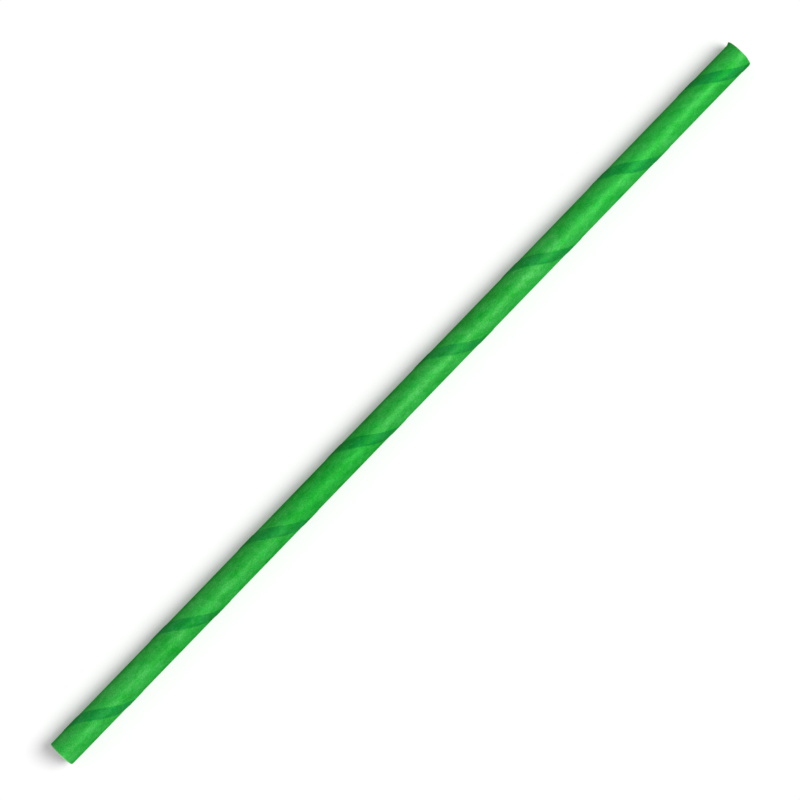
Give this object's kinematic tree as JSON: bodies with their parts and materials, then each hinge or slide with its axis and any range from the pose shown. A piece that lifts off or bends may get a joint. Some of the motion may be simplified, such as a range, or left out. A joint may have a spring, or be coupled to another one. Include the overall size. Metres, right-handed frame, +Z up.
{
  "type": "spiral-wound paper drinking straw",
  "caption": "Straight paper drinking straw: a thin tube wound from glued strips, green outside, with a helical band where the outer strip laps over itself.",
  "frame": {"origin": "under the middle of the straw's length, on the surface that it lies on", "axes": "+X along the straw's axis, +Z up, +Y across; the lap is a right-handed helix about +X"},
  "size_m": [0.197, 0.0062, 0.0061],
  "materials": {
    "green_printed_paper": "uncoated paper, printed green outside and bare white inside, with a soft sheen"
  },
  "bodies": {
    "root": {"paper_straw": "green_printed_paper"}
  },
  "joints": []
}
